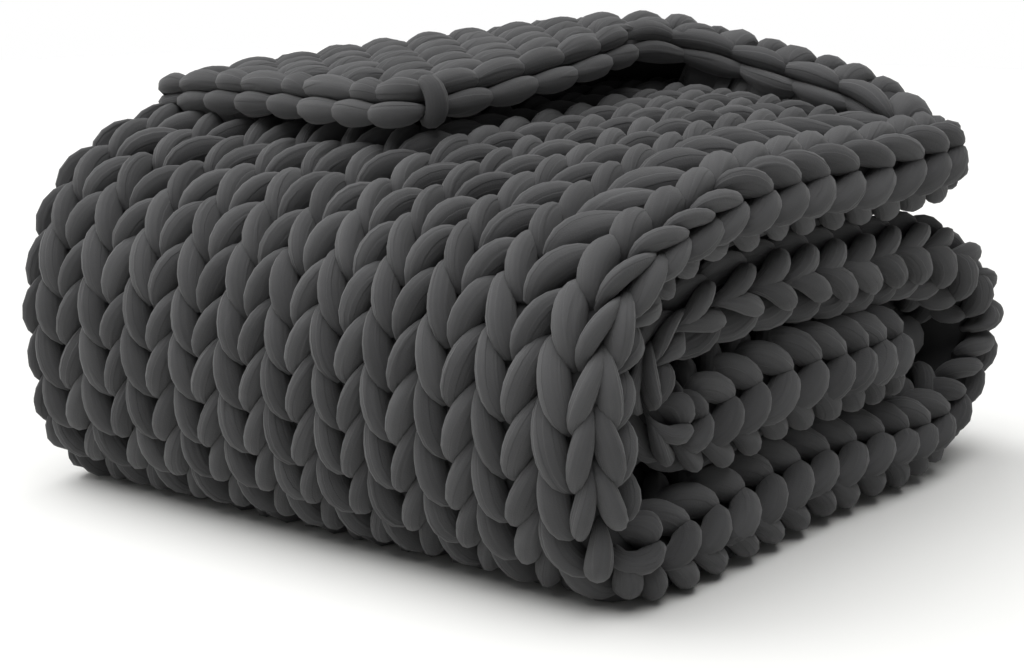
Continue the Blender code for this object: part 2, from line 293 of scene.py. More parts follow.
# How far the columns have crept sideways on the top layer, in columns.
CREEP = {-2: 0.0, 0: -0.08, 2: -0.16, 4: -0.28, 7: -0.34, 9: -0.30, 10: 0.0, 12: 0.0}
CREEP_ROWS = (10.5, 13.0)  # whole above the first row and gone below the second
SHORT_OF_POLE = 0.98  # the slab's closed ends stop at this share of their quarter turn


def slab_points(wale, row, inwards=0.0):
    """Points of the folded slab's skin. wale counts columns round the slab and row counts rows from its first end."""
    wale, row = np.broadcast_arrays(np.asarray(wale, float), np.asarray(row, float))
    inside = np.clip(row, 0, LAST_ROW)
    y, z, thickness, reach, fy, fz = (
        np.interp(inside, spine_rows, column)
        for column in (*spine.T, *spine_forward.T)
    )
    half = thickness / 2 - inwards
    turn = np.clip(np.abs(row - inside) * ROW_PITCH / half, 0, SHORT_OF_POLE * np.pi / 2)
    past = np.sign(row - inside) * np.sin(turn) * half
    half_now = half * np.cos(turn)
    wale = wale - np.floor((wale - left_start) / WALES_ROUND) * WALES_ROUND
    crept = wale + np.interp(wale, list(CREEP), list(CREEP.values())) * np.interp(inside, CREEP_ROWS, (1, 0))
    x = np.interp(crept, range(len(WALE_X)), WALE_X)
    x = np.where(crept < 0, WALE_X[0] + WALE_PITCH * crept, x)
    # Round the right-hand end, a place is its distance along the skin from the edge of the flat face.
    radius = half_now * (1 + reach) / 2 + 1e-6
    lie = np.array([row[1:] for row in END_LIE])
    places = [np.where(wale < END_STOPS[0], x - FACE_RIGHT, np.interp(inside, CREEP_ROWS, END_START))]
    places += [radius * np.radians(np.interp(inside, lie[:, 0], lie[:, k])) for k in range(1, 5)]
    places.append(np.pi * radius + FACE_RIGHT - FACE_LEFT)
    along = places[0]
    for start, stop, low, high in zip(END_STOPS, END_STOPS[1:], places, places[1:]):
        along = np.where((wale > start) & (wale <= stop), low + (high - low) * (wale - start) / (stop - start), along)
    angle = np.clip(along / radius, 0, np.pi)
    bulge = reach * half_now * np.sin(angle)
    x = FACE_RIGHT + np.where(along < 0, along, bulge - np.maximum(along - np.pi * radius, 0))
    height = np.cos(angle)
    # Round the left end, the columns lie evenly.
    angle = np.pi * (wale - INNER_END) / (LOOP_END - INNER_END)
    left = wale > INNER_END
    x = np.where(left, FACE_LEFT - LEFT_REACH * half_now * np.sin(angle), x)
    height = np.where(left, -np.cos(angle), height)
    centre = (FACE_LEFT + FACE_RIGHT) / 2
    x = x - (half - half_now) * np.clip(2 * (x - centre) / (FACE_RIGHT - FACE_LEFT), -1, 1)
    outward_y, outward_z = fz, -fy
    y = y + fy * past + outward_y * height * half_now
    z = z + fz * past + outward_z * height * half_now
    points = heap(np.stack([x, y, z], axis=-1))
    points[..., 2] -= FLAT_BASE
    return points


def grid_faces(rows, columns, closed=False):
    """Quads of a grid of points stored row after row."""
    faces = []
    for a in range(rows - 1):
        for b in range(columns if closed else columns - 1):
            c = (b + 1) % columns
            faces.append((a * columns + b, a * columns + c, (a + 1) * columns + c, (a + 1) * columns + b))
    return faces


UV_WALES, UV_ROWS, UV_START = 40.0, 90.0, 0.1  # one unit of the form's UV map in wales and rows


def cloth_form(name, points, places):
    """A helper mesh of a cloth's skin, with a UV map in wales and rows and a smooth outward direction to sample."""
    outward = unit(np.cross(np.gradient(points, axis=1), -np.gradient(points, axis=0)))
    form = new_piece(name, points.reshape(-1, 3) + TABLE_ORIGIN, grid_faces(*points.shape[:2]))
    store = form.data.attributes.new("outward", "FLOAT_VECTOR", "POINT")
    store.data.foreach_set("vector", outward.astype(np.float32).ravel())
    layer = form.data.uv_layers.new(name="cloth")
    corners = np.array([loop.vertex_index for loop in form.data.loops])
    places = places.reshape(-1, 2)[corners] / (UV_WALES, UV_ROWS) + UV_START
    layer.data.foreach_set("uv", places.astype(np.float32).ravel())
    return form


OVERLAP, OVERHANG = 2, 2.7  # the form runs on past its seam by these columns, and past its ends by these rows
WALE_STEP, ROW_STEP = 0.2, 0.15
form_wales = np.arange(left_start - OVERLAP, WALES_ROUND + left_start + OVERLAP + 0.01, WALE_STEP)
form_rows = np.arange(-OVERHANG, LAST_ROW + OVERHANG, ROW_STEP)
slab_places = np.stack(np.meshgrid(form_wales, form_rows), axis=-1)
slab_form = cloth_form("slab_form", slab_points(slab_places[..., 0], slab_places[..., 1]), slab_places)

# ---------------------------------------------------------------------------
# Inside of the slab. Behind each V of yarn lies the back of the next loops,
# seen only as dark depth between the stitches. One soft body drawn in from
# the skin stands for it. It is coloured darker than the yarn, as painted shade.
# ---------------------------------------------------------------------------


def closed_piece(name, points, faces):
    """A piece with a closed skin. Its faces are turned to point outwards."""
    made = new_piece(name, points, faces)
    work = bmesh.new()
    work.from_mesh(made.data)
    bmesh.ops.recalc_face_normals(work, faces=work.faces)
    work.to_mesh(made.data)
    work.free()
    return made


def belongs_to_blanket(piece):
    """The piece rides on the blanket's one body and stands in for its solid."""
    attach(piece, "root")
    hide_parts("folded_blanket")


CORE_DEPTH = 0.018  # how far the body lies behind the skin
CORE_OFF_FLOOR = 0.010
CORE_COLUMNS = 72
ROUND_END = np.array([0.4, 0.8, 1.2])  # rows past an end, where the body closes
core_wales = np.linspace(left_start, WALES_ROUND + left_start, CORE_COLUMNS + 1)[:-1]
core_rows = np.concatenate([-ROUND_END[::-1], np.arange(0, LAST_ROW, 0.5), [LAST_ROW], LAST_ROW + ROUND_END])
core_points = slab_points(core_wales[None, :], core_rows[:, None], CORE_DEPTH)
core_points[..., 2] = np.maximum(core_points[..., 2], CORE_OFF_FLOOR)
core_faces = grid_faces(len(core_rows), CORE_COLUMNS, closed=True)
for base in (0, (len(core_rows) - 1) * CORE_COLUMNS):
    core_faces.append(tuple(range(base, base + CORE_COLUMNS)))
core = closed_piece("inner_loops", core_points.reshape(-1, 3) + TABLE_ORIGIN, core_faces)
# Painted shade: the same jersey, coloured darker than the yarn, as it looks where little light reaches it. It gives the
# eye only depth between the stitches.
painted_shade_material, _, painted_shade_shader = new_material("charcoal jersey in painted shade")
painted_shade_shader.inputs["Base Color"].default_value = linear("#2c2c2d")
painted_shade_shader.inputs["Roughness"].default_value = 0.95
core.data.materials.append(painted_shade_material)
belongs_to_blanket(core)

# ---------------------------------------------------------------------------
# Surface of the yarn: matt charcoal jersey, machine-knitted too finely to
# show as stitches. Its fine wales run along each length, a few soft creases
# lie where the tube was squeezed, and each length took the dye a little
# differently. The fine wales are drawn coarser than real, so that they show.
# ---------------------------------------------------------------------------

yarn_material, M, yarn_shader = new_material("charcoal stretch-cotton jersey")
round_and_along = add(M, "ShaderNodeUVMap", uv_map="yarn")
round_and_along = add(M, "ShaderNodeSeparateXYZ", {0: round_and_along.outputs[0]})
turned_by = add(M, "ShaderNodeMath", {0: round_and_along.outputs[0], 1: 2 * math.pi}, operation="MULTIPLY")
cosine, sine = (add(M, "ShaderNodeMath", {0: turned_by.outputs[0]}, operation=kind) for kind in ("COSINE", "SINE"))
own = add(M, "ShaderNodeAttribute", attribute_name="tone")
own_seed = add(M, "ShaderNodeMath", {0: own.outputs["Fac"], 1: 40.0, 2: 3.0}, operation="MULTIPLY_ADD")


def lengthwise(scale_round, scale_along, detail):
    """A noise stretched along the length of yarn and closed round it, different on each length."""
    along = {0: round_and_along.outputs[1], 1: scale_along, 2: own_seed.outputs[0]}
    along = add(M, "ShaderNodeMath", along, operation="MULTIPLY_ADD")
    around = [
        add(M, "ShaderNodeMath", {0: part.outputs[0], 1: scale_round}, operation="MULTIPLY")
        for part in (cosine, sine)
    ]
    where = add(M, "ShaderNodeCombineXYZ", {0: around[0].outputs[0], 1: around[1].outputs[0], 2: along.outputs[0]})
    settings = {"Vector": where.outputs[0], "Scale": 1.0, "Detail": detail, "Roughness": 0.5}
    return add(M, "ShaderNodeTexNoise", settings)


fine_wales = lengthwise(scale_round=4.2, scale_along=1.6, detail=1.0)
creases = lengthwise(scale_round=1.7, scale_along=1.1, detail=0.0)
crease_depth = add(
    M,
    "ShaderNodeMapRange",
    {"Value": creases.outputs[0], 1: 0.53, 2: 0.60, 3: 0.0, 4: 1.0},
    interpolation_type="SMOOTHSTEP",
)
where = add(M, "ShaderNodeTexCoord")
mottle = add(M, "ShaderNodeTexNoise", {"Vector": where.outputs["Object"], "Scale": 900.0, "Detail": 2.0})
bump = None
for relief, strength, depth in (
    (mottle, 0.5, 0.0004),  # the jersey's own stitches, about 1 mm
    (fine_wales, 0.35, 0.0010),
    (crease_depth, 0.45, 0.0012),
):
    below = {"Normal": bump.outputs[0]} if bump else {}
    bump = add(M, "ShaderNodeBump", {"Height": relief.outputs[0], "Strength": strength, "Distance": depth, **below})
M.links.new(bump.outputs[0], yarn_shader.inputs["Normal"])
DARKEST, LIGHTEST = linear("#3f3f40"), linear("#4c4c4d")
dye = add(M, "ShaderNodeMix", {"Factor": own.outputs["Fac"], 6: DARKEST, 7: LIGHTEST}, data_type="RGBA")
# Painted shade: the colour is a little darker where the fine wales' bump is low, in their grooves, and lighter where it
# is high, on their ridges.
painted_wale_shade = add(M, "ShaderNodeMapRange", {"Value": fine_wales.outputs[0], 1: 0.3, 2: 0.7, 3: 0.95, 4: 1.05})
dyed = add(M, "ShaderNodeVectorMath", {0: dye.outputs[2], "Scale": painted_wale_shade.outputs[0]}, operation="SCALE")
M.links.new(dyed.outputs[0], yarn_shader.inputs["Base Color"])
yarn_shader.inputs["Roughness"].default_value = 0.9
yarn_shader.inputs["Specular IOR Level"].default_value = 0.2
yarn_shader.inputs["Sheen Weight"].default_value = 0.12
yarn_shader.inputs["Sheen Roughness"].default_value = 0.6

# ---------------------------------------------------------------------------
# Yarn: a tube of stretch-cotton jersey about 25 mm thick, stuffed with soft
# fibre and knitted by hand. Each stitch shows as a V of two plump legs. A
# leg's tip rests on the V below, and its top dives behind its neighbours.
# ---------------------------------------------------------------------------

RIGHT_LEG = (
    # place                across    up     height  half width  half depth
    ("tip, tucked in", 0.0022, 0.0040, -0.0320, 0.0028, 0.0035),
    ("tip", 0.0040, -0.0030, -0.0220, 0.0060, 0.0074),
    ("lower belly", 0.0076, 0.0050, -0.0145, 0.0086, 0.0118),
    ("belly", 0.0120, 0.0160, -0.0118, 0.0097, 0.0136),
    ("waist", 0.0170, 0.0290, -0.0130, 0.0096, 0.0134),
    ("upper", 0.0216, 0.0415, -0.0182, 0.0083, 0.0114),
    ("top", 0.0246, 0.0520, -0.0260, 0.0060, 0.0080),
    ("top, tucked in", 0.0258, 0.0580, -0.0340, 0.0028, 0.0035),
)
LEFT_LEG = (
    # place                across    up     height  half width  half depth
    ("tip, tucked in", 0.0022, 0.0035, -0.0330, 0.0028, 0.0035),
    ("tip", 0.0040, -0.0030, -0.0230, 0.0060, 0.0074),
    ("lower belly", 0.0068, 0.0045, -0.0150, 0.0086, 0.0118),
    ("belly", 0.0102, 0.0155, -0.0116, 0.0098, 0.0136),
    ("waist", 0.0138, 0.0290, -0.0120, 0.0096, 0.0134),
    ("upper", 0.0172, 0.0425, -0.0160, 0.0082, 0.0116),
    ("top", 0.0194, 0.0535, -0.0235, 0.0058, 0.0080),
    ("top, tucked in", 0.0200, 0.0590, -0.0325, 0.0028, 0.0035),
)
# Round the layers' ends the columns are slack, and the same yarn lies there in short, blunt, wide-open V's.
OPEN_LEG = (
    # place                across    up     height  half width  half depth
    ("tip, tucked in", 0.0010, 0.0055, -0.0290, 0.0050, 0.0045),
    ("tip", 0.0028, -0.0015, -0.0180, 0.0086, 0.0080),
    ("lower belly", 0.0068, 0.0055, -0.0105, 0.0098, 0.0118),
    ("belly", 0.0120, 0.0135, -0.0080, 0.0100, 0.0134),
    ("waist", 0.0178, 0.0225, -0.0086, 0.0098, 0.0132),
    ("upper", 0.0232, 0.0315, -0.0125, 0.0090, 0.0114),
    ("top", 0.0276, 0.0395, -0.0210, 0.0066, 0.0085),
    ("top, tucked in", 0.0296, 0.0435, -0.0310, 0.0035, 0.0040),
)
# On the top and the third layer it is the legs' tops that show, so there the same legs lie the other way round.
TURNED_ACROSS, TURNED_UP = 0.0256, 0.0375  # the turned leg's middle lies at half of these
TURNED_LEG = tuple(
    (place, TURNED_ACROSS - across, TURNED_UP - up, *rest)
    for place, across, up, *rest in reversed(OPEN_LEG)
)
# Nothing holds the yarn in at the ends, so the long legs are a little wider there than on the faces.
PLUMP = 1.12
PLUMP_RIGHT_LEG, PLUMP_LEFT_LEG = (
    tuple((place, across, up, height, wide * PLUMP, deep) for place, across, up, height, wide, deep in leg)
    for leg in (RIGHT_LEG, LEFT_LEG)
)
# Faces round a length of yarn and along it, from the end nearest the camera to the sides below and behind.
FINEST, FINER, FINE, COARSE = (16, 18), (15, 16), (13, 14), (10, 10)
END_DENSITY = 0.4  # the rings of a length of yarn lie closer together near its round ends
LINE_STEP = 0.001
CREASE_WIDTH = 0.45  # of a soft crease, in radians round the yarn


def stuffed_yarn(name, table, side, hollow, start, sides, steps):
    """One length of stuffed yarn. side 1 is as in the table, and -1 mirrors it. hollow sinks a soft crease at start."""
    rows = np.array([row[1:] for row in table])
    # The curve is measured along the way that the length runs, which comes first.
    if np.ptp(rows[:, 0]) > np.ptp(rows[:, 1]):
        line = smooth_curve(rows[:, [0, 2, 1, 3, 4]], LINE_STEP)[:, [2, 1, 0, 3, 4]]
    else:
        line = smooth_curve(rows[:, [1, 2, 0, 3, 4]], LINE_STEP)
    share = np.linspace(0, 1, steps + 1)
    stops = (len(line) - 1) * (share - END_DENSITY * np.sin(2 * np.pi * share) / (2 * np.pi))
    up, height, across, wide, deep = (np.interp(stops, range(len(line)), column) for column in line.T)
    path = np.column_stack([side * across, up, height])
    along = unit(np.gradient(path, axis=0))
    sideways = unit(np.cross(along, (0, 0, 1)))
    upright = np.cross(sideways, along)
    points = []
    for k in range(steps + 1):
        for j in range(sides):
            angle = 2 * np.pi * j / sides
            dent = 1 - hollow * np.exp(-((angle - start) / CREASE_WIDTH) ** 2) * np.sin(np.pi * k / steps)
            ring = sideways[k] * wide[k] * np.cos(angle) + upright[k] * deep[k] * np.sin(angle)
            points.append(path[k] + dent * ring)
    faces = grid_faces(steps + 1, sides, closed=True)
    faces.append(tuple(range(sides)))
    faces.append(tuple(range(steps * sides, (steps + 1) * sides)))
    made = closed_piece(name, points, faces)
    # The UV map runs once round the yarn and once along it.
    layer = made.data.uv_layers.new(name="yarn")
    for face in made.data.polygons:
        turns = [made.data.loops[k].vertex_index % sides for k in face.loop_indices]
        wraps = len(turns) == 4 and max(turns) == sides - 1 and min(turns) == 0
        for k in face.loop_indices:
            step, j = divmod(made.data.loops[k].vertex_index, sides)
            layer.data[k].uv = (1 if wraps and j == 0 else j / sides, step / steps)
    return made


def shape_collection(name, *shapes, faces=FINE):
    """A collection of lengths of yarn, in the order in which Pick Instance counts them."""
    made = bpy.data.collections.new(name)
    bpy.context.scene.collection.children.link(made)
    for index, (table, side, hollow, start) in enumerate(shapes):
        shape = stuffed_yarn(f"{name}_{index:02d}", table, side, hollow, start, *faces)
        bpy.context.scene.collection.objects.unlink(shape)
        made.objects.link(shape)
    return made


SHAPES_A_SIDE = 3


def legs_of_v(right_leg, left_leg):
    """The legs on each side of a V: a smooth one and two with a soft crease in another place."""
    right = [(right_leg, 1, hollow, start) for hollow, start in ((0.0, 0), (0.10, 1.2), (0.12, 2.2))]
    return right + [(left_leg, -1, hollow, start) for hollow, start in ((0.0, 0), (0.10, 1.9), (0.12, 0.9))]


LONG_LEGS = legs_of_v(RIGHT_LEG, LEFT_LEG)
left_end_shapes = shape_collection("left_end_leg", *LONG_LEGS, faces=FINE)
front_shapes = shape_collection("front_leg", *LONG_LEGS, faces=FINER)
rear_shapes = shape_collection("rear_leg", *LONG_LEGS, faces=COARSE)
right_end_shapes = shape_collection(
    "right_end_leg",
    *legs_of_v(PLUMP_RIGHT_LEG, PLUMP_LEFT_LEG),
    *legs_of_v(OPEN_LEG, OPEN_LEG),
    *legs_of_v(TURNED_LEG, TURNED_LEG),
    faces=FINEST,
)
LONG, OPEN, TURNED = 0, 1, 2  # the kinds of legs in the right-hand end's collection, in their order

# ---------------------------------------------------------------------------
# Knit: plain stockinette, one column of V's beside the next, by the tree
# that lays lengths of yarn on a cloth's skin. The seats of the V's are the
# points, and the form's UV map tells the tree where each lies.
# ---------------------------------------------------------------------------


def new_tree(name, sockets):
    """A geometry node tree with named inputs. It gives the tree, its input node and the inputs' identifiers."""
    tree = bpy.data.node_groups.new(name, "GeometryNodeTree")
    tree.interface.new_socket("Geometry", in_out="INPUT", socket_type="NodeSocketGeometry")
    for label, kind in sockets.items():
        tree.interface.new_socket(label, in_out="INPUT", socket_type=f"NodeSocket{kind}")
    tree.interface.new_socket("Geometry", in_out="OUTPUT", socket_type="NodeSocketGeometry")
    names = {item.name: item.identifier for item in tree.interface.items_tree if item.in_out == "INPUT"}
    return tree, tree.nodes.new("NodeGroupInput"), names


G, given, knit_inputs = new_tree(
    "knit on a cloth form",
    {
        "Legs": "Collection",
        "Form": "Object",
        "Wale pitch": "Float",
        "Row pitch": "Float",
        "Unevenness": "Float",
        "Seed": "Int",
        "Material": "Material",
    },
)
seed, spread = given.outputs["Seed"], given.outputs["Unevenness"]
# Each seat takes its own shape, a little tilt and a little difference in size.
legs = {"Collection": given.outputs["Legs"], "Separate Children": True, "Reset Children": True}
legs = add(G, "GeometryNodeCollectionInfo", legs)
which = add(G, "GeometryNodeInputNamedAttribute", {"Name": "shape"}, data_type="INT")
length = add(G, "GeometryNodeInputNamedAttribute", {"Name": "length"}, data_type="FLOAT")
MOST_TILT, MOST_GROWTH = np.array([0.5, 0.3, 1.0]), np.array([0.8, 0.5, 0.7])
tilt = {0: -MOST_TILT, 1: MOST_TILT, "Seed": seed}
tilt = add(G, "FunctionNodeRandomValue", tilt, data_type="FLOAT_VECTOR")
tilt = add(G, "ShaderNodeVectorMath", {0: tilt.outputs[0], "Scale": spread}, operation="SCALE")
size_seed = add(G, "ShaderNodeMath", {0: seed, 1: 1.0}, operation="ADD")
size = {0: -MOST_GROWTH, 1: MOST_GROWTH, "Seed": size_seed.outputs[0]}
size = add(G, "FunctionNodeRandomValue", size, data_type="FLOAT_VECTOR")
size = add(G, "ShaderNodeVectorMath", {0: size.outputs[0], "Scale": spread}, operation="SCALE")
size = add(G, "ShaderNodeVectorMath", {0: size.outputs[0], 1: (1, 1, 1)}, operation="ADD")
stretch = add(G, "ShaderNodeCombineXYZ", {0: 1.0, 1: length.outputs[0], 2: 1.0})
size = add(G, "ShaderNodeVectorMath", {0: size.outputs[0], 1: stretch.outputs[0]}, operation="MULTIPLY")
placed = add(
    G,
    "GeometryNodeInstanceOnPoints",
    {
        "Points": given.outputs["Geometry"],
        "Instance": legs.outputs[0],
        "Pick Instance": True,
        "Instance Index": which.outputs[0],
        "Rotation": tilt.outputs[0],
        "Scale": size.outputs[0],
    },
)
tone_seed = add(G, "ShaderNodeMath", {0: seed, 1: 2.0}, operation="ADD")
tone = add(G, "FunctionNodeRandomValue", {"Seed": tone_seed.outputs[0]}, data_type="FLOAT")
tone_value = next(s for s in tone.outputs if s.type == "VALUE" and s.enabled)
toned = add(
    G,
    "GeometryNodeStoreNamedAttribute",
    {"Geometry": placed.outputs[0], "Name": "tone", "Value": tone_value},
    data_type="FLOAT",
    domain="INSTANCE",
)
real = add(G, "GeometryNodeRealizeInstances", {"Geometry": toned.outputs[0]})
# The flat knit is bent on to the form: across and up give the place on its skin, and the height lifts it off.
here = add(G, "GeometryNodeInputPosition")
flat = add(G, "ShaderNodeSeparateXYZ", {0: here.outputs[0]})
uv = add(G, "ShaderNodeCombineXYZ")
for axis, pitch, in_uv in ((0, "Wale pitch", 1 / UV_WALES), (1, "Row pitch", -1 / UV_ROWS)):
    counted = add(G, "ShaderNodeMath", {0: flat.outputs[axis], 1: given.outputs[pitch]}, operation="DIVIDE")
    counted = add(G, "ShaderNodeMath", {0: counted.outputs[0], 1: in_uv, 2: UV_START}, operation="MULTIPLY_ADD")
    G.links.new(counted.outputs[0], uv.inputs[axis])
form = add(G, "GeometryNodeObjectInfo", {"Object": given.outputs["Form"]})
form_uv = add(G, "GeometryNodeInputNamedAttribute", {"Name": "cloth"}, data_type="FLOAT_VECTOR")
form_out = add(G, "GeometryNodeInputNamedAttribute", {"Name": "outward"}, data_type="FLOAT_VECTOR")
skin, out = (
    add(
        G,
        "GeometryNodeSampleUVSurface",
        {"Mesh": form.outputs["Geometry"], "Value": what.outputs[0], 2: form_uv.outputs[0], "Sample UV": uv.outputs[0]},
        data_type="FLOAT_VECTOR",
    )
    for what in (here, form_out)
)
lift = add(G, "ShaderNodeVectorMath", {0: out.outputs[0], "Scale": flat.outputs[2]}, operation="SCALE")
laid = add(G, "ShaderNodeVectorMath", {0: skin.outputs[0], 1: lift.outputs[0]}, operation="ADD")
moved = add(G, "GeometryNodeSetPosition", {"Geometry": real.outputs[0], "Position": laid.outputs[0]})
coated = add(G, "GeometryNodeSetMaterial", {"Geometry": moved.outputs[0], "Material": given.outputs["Material"]})
add(G, "NodeGroupOutput", {0: coated.outputs[0]})

pick = np.random.default_rng(11)


def knit(name, lengths, form_object, seed, shapes, unevenness=0.06):
    """Lays lengths of yarn on the form: (wale, row, shape, stretch). The result is one plain mesh."""
    points = [(wale * WALE_PITCH, -row * ROW_PITCH, 0) for wale, row, *_ in lengths]
    seats = new_piece(f"{name}_seats", points, [])
    for attribute, kind, values in (
        ("shape", "INT", [which for _, _, which, _ in lengths]),
        ("length", "FLOAT", [stretch for *_, stretch in lengths]),
    ):
        seats.data.attributes.new(attribute, kind, "POINT").data.foreach_set("value", values)
    modifier = seats.modifiers.new("knit", "NODES")
    modifier.node_group = G
    for label, value in (
        ("Legs", shapes),
        ("Form", form_object),
        ("Wale pitch", WALE_PITCH),
        ("Row pitch", ROW_PITCH),
        ("Unevenness", unevenness),
        ("Seed", seed),
        ("Material", yarn_material),
    ):
        modifier[knit_inputs[label]] = value
    graph = bpy.context.evaluated_depsgraph_get()
    mesh = bpy.data.meshes.new_from_object(seats.evaluated_get(graph))
    bpy.data.objects.remove(seats, do_unlink=True)
    mesh.name = name
    piece = bpy.data.objects.new(name, mesh)
    bpy.context.scene.collection.objects.link(piece)
    # The yarn is pressed flat where it rests on the floor.
    co = np.empty(len(mesh.vertices) * 3, np.float32)
    mesh.vertices.foreach_get("co", co)
    co[2::3] = np.maximum(co[2::3], 0)
    mesh.vertices.foreach_set("co", co)
    mesh.shade_smooth()
    belongs_to_blanket(piece)


# Where the tips of each row of stitches lie on the top layer and the front fold, as read from the photograph.
TOP_ROWS = {
    "left": (-0.1, 0.95, 2.0, 3.1, 4.2, 5.3, 6.45, 7.55, 8.65, 9.7, 10.75, 12.0, 13.0, 14.0, 14.9, 15.8, 16.7, 17.6, 18.5),
    "right": (-0.2, 0.7, 1.7, 2.8, 3.9, 5.1, 6.3, 7.5, 8.6, 9.5, 10.3, 11.2, 12.3, 13.5, 14.7, 15.8, 16.8, 17.8, 18.7),
}
RIGHTNESS = {6: 0.0, 10: 1.0, 14: 1.0, 19: 0.0}  # how far each column follows the right-hand rows
# How far the rows lie lower on the left, in rows.
SAG = {-2: 0.5, 0: 0.48, 1: 0.38, 2: 0.18, 3: 0.0, 4: -0.05, 5: 0.0, 19: 0.3, 22: 0.5}
EVEN_ROWS = (
    # place              first row  pitch  rows
    ("bottom layer", 19.5, 0.98, 11),
    ("rear fold and third layer", 30.4, 1.17, 18),
    ("inner layer", 51.8, 0.88, 10),
)
RIGHT_END, INNER_FACE, LEFT_END = 10, 15, 19  # the columns at which these start, round the slab
REAR_FOLD = 31  # the row at which the rear fold starts
# From this row on, these columns of the third layer lie too deep under the top layer to be seen.
UNDER_TOP, UNDER_TOP_COLUMNS = 43, range(3, 8)
# Which legs the right-hand end has from each row on.
END_LEGS = {-3: TURNED, 9.4: LONG, 17.2: OPEN, 33: TURNED, 48: LONG, 51: OPEN}
LEAST_ROOM = 0.60  # two rows of stitches lie at least so many pitches apart on the skin
MOST_ROOM = 1.05  # and a stitch fills up to so many
SQUEEZED = 0.45  # where the skin has less than this of its pitch, on the inside of a fold, no stitch shows
LEAST_STRETCH, MOST_STRETCH = 0.85, 1.1

stitches = {
    "knit_top_and_front": [],
    "knit_bottom_and_rear": [],
    "knit_right_end": [],
    "knit_right_end_inside": [],
    "knit_left_end": [],
}
for wale in range(WALES_ROUND):
    share = np.interp(wale, list(RIGHTNESS), list(RIGHTNESS.values()))
    top_rows = (1 - share) * np.array(TOP_ROWS["left"]) + share * np.array(TOP_ROWS["right"])
    top_rows = top_rows + np.interp(wale, list(SAG), list(SAG.values()))
    lie = [(row, "knit_top_and_front") for row in top_rows]
    for _, first, pitch, rows in EVEN_ROWS:
        lie += [(row, "knit_bottom_and_rear") for row in first + pitch * np.arange(rows)]
    room, last = LEAST_ROOM, lie[0][0] - 1
    for row, group in lie:
        if RIGHT_END <= wale < INNER_FACE:
            group = "knit_right_end" if row < REAR_FOLD else "knit_right_end_inside"
        elif wale >= LEFT_END:
            group = "knit_left_end"
        if INNER_FACE <= wale < LEFT_END or (wale in UNDER_TOP_COLUMNS and row > UNDER_TOP):
            continue  # these lie between two layers
        before, after = slab_points(wale, (row - 0.5, row + 0.5))
        here = np.linalg.norm(after - before) / ROW_PITCH
        room += here * (row - last)
        last = row
        if room < LEAST_ROOM or here < SQUEEZED:
            continue
        stretch = np.clip(min(room, MOST_ROOM) / here, LEAST_STRETCH, MOST_STRETCH)
        room = 0
        for side in (0, 1):
            shape = side * SHAPES_A_SIDE + int(pick.integers(SHAPES_A_SIDE))
            if group.startswith("knit_right_end"):
                kind = [kind for first, kind in END_LEGS.items() if row >= first][-1]
                # The left legs of the end's first column lie against the face's, and are as long.
                shape += 2 * SHAPES_A_SIDE * (LONG if (wale, side) == (RIGHT_END, 1) else kind)
            stitches[group].append((wale, row, shape, stretch))
shapes_of = {
    "knit_top_and_front": front_shapes,
    "knit_bottom_and_rear": rear_shapes,
    "knit_right_end": right_end_shapes,
    "knit_right_end_inside": right_end_shapes,
    "knit_left_end": left_end_shapes,
}
for index, (name, places) in enumerate(stitches.items()):
    knit(name, places, slab_form, seed=10 * index, shapes=shapes_of[name])

# ---------------------------------------------------------------------------
# Turned-back corner. One corner of the upper sheet lies folded back over the
# top layer with its purl side up, so the wales run along X there. The rear
# edge beside it stands up as a lip.
# ---------------------------------------------------------------------------

FLAP = (
    # place                  ridge x      y      z     edge x      y      z   thickness
    ("left end", -0.281, 0.108, 0.312, -0.276, 0.076, 0.288, 0.024),
    ("left border", -0.255, 0.158, 0.327, -0.222, 0.068, 0.287, 0.032),
    ("left border", -0.224, 0.206, 0.334, -0.138, 0.062, 0.284, 0.037),
    ("near the corner", -0.192, 0.250, 0.341, -0.060, 0.054, 0.281, 0.039),
    ("corner", -0.160, 0.288, 0.348, 0.010, 0.058, 0.281, 0.040),
    ("right border", -0.124, 0.330, 0.354, 0.024, 0.140, 0.289, 0.040),
    ("right border", -0.084, 0.369, 0.361, 0.030, 0.215, 0.300, 0.039),
    ("right border", -0.038, 0.395, 0.365, 0.030, 0.285, 0.311, 0.038),
    ("right end", 0.006, 0.417, 0.363, 0.022, 0.355, 0.320, 0.036),
    ("lip", 0.050, 0.430, 0.353, 0.056, 0.392, 0.312, 0.034),
    ("lip", 0.100, 0.434, 0.342, 0.102, 0.397, 0.300, 0.033),
    ("lip", 0.150, 0.434, 0.331, 0.150, 0.398, 0.290, 0.032),
    ("lip", 0.195, 0.430, 0.318, 0.193, 0.396, 0.279, 0.031),
    ("lip, right end", 0.232, 0.418, 0.300, 0.228, 0.386, 0.262, 0.028),
    ("lip, corner", 0.256, 0.398, 0.278, 0.248, 0.370, 0.246, 0.024),
)
FLAP_HOLLOW = 0.008  # the fold behind the ridge stays open by this radius
FLAP_FOOT = 0.030  # the sheet goes down so far behind the ridge
FOOT_FADES, SHORT_FOOT = (0.031, 0.038), 0.1  # the foot shortens towards the thin ends of the flap, to this share
FLAP_DROOP = 1.2  # over 1, the sheet falls more steeply towards its border
FLAP_STEP = 0.012
BORDER_SHARE = 0.8  # the border's round starts this share of half the thickness before its tip
BORDER_TURN = 0.8 * np.pi
BORDER_STEPS, RIDGE_STEPS, SHEET_STEPS = 7, 9, 19

stations = smooth_curve(np.array([row[1:] for row in FLAP]), FLAP_STEP)


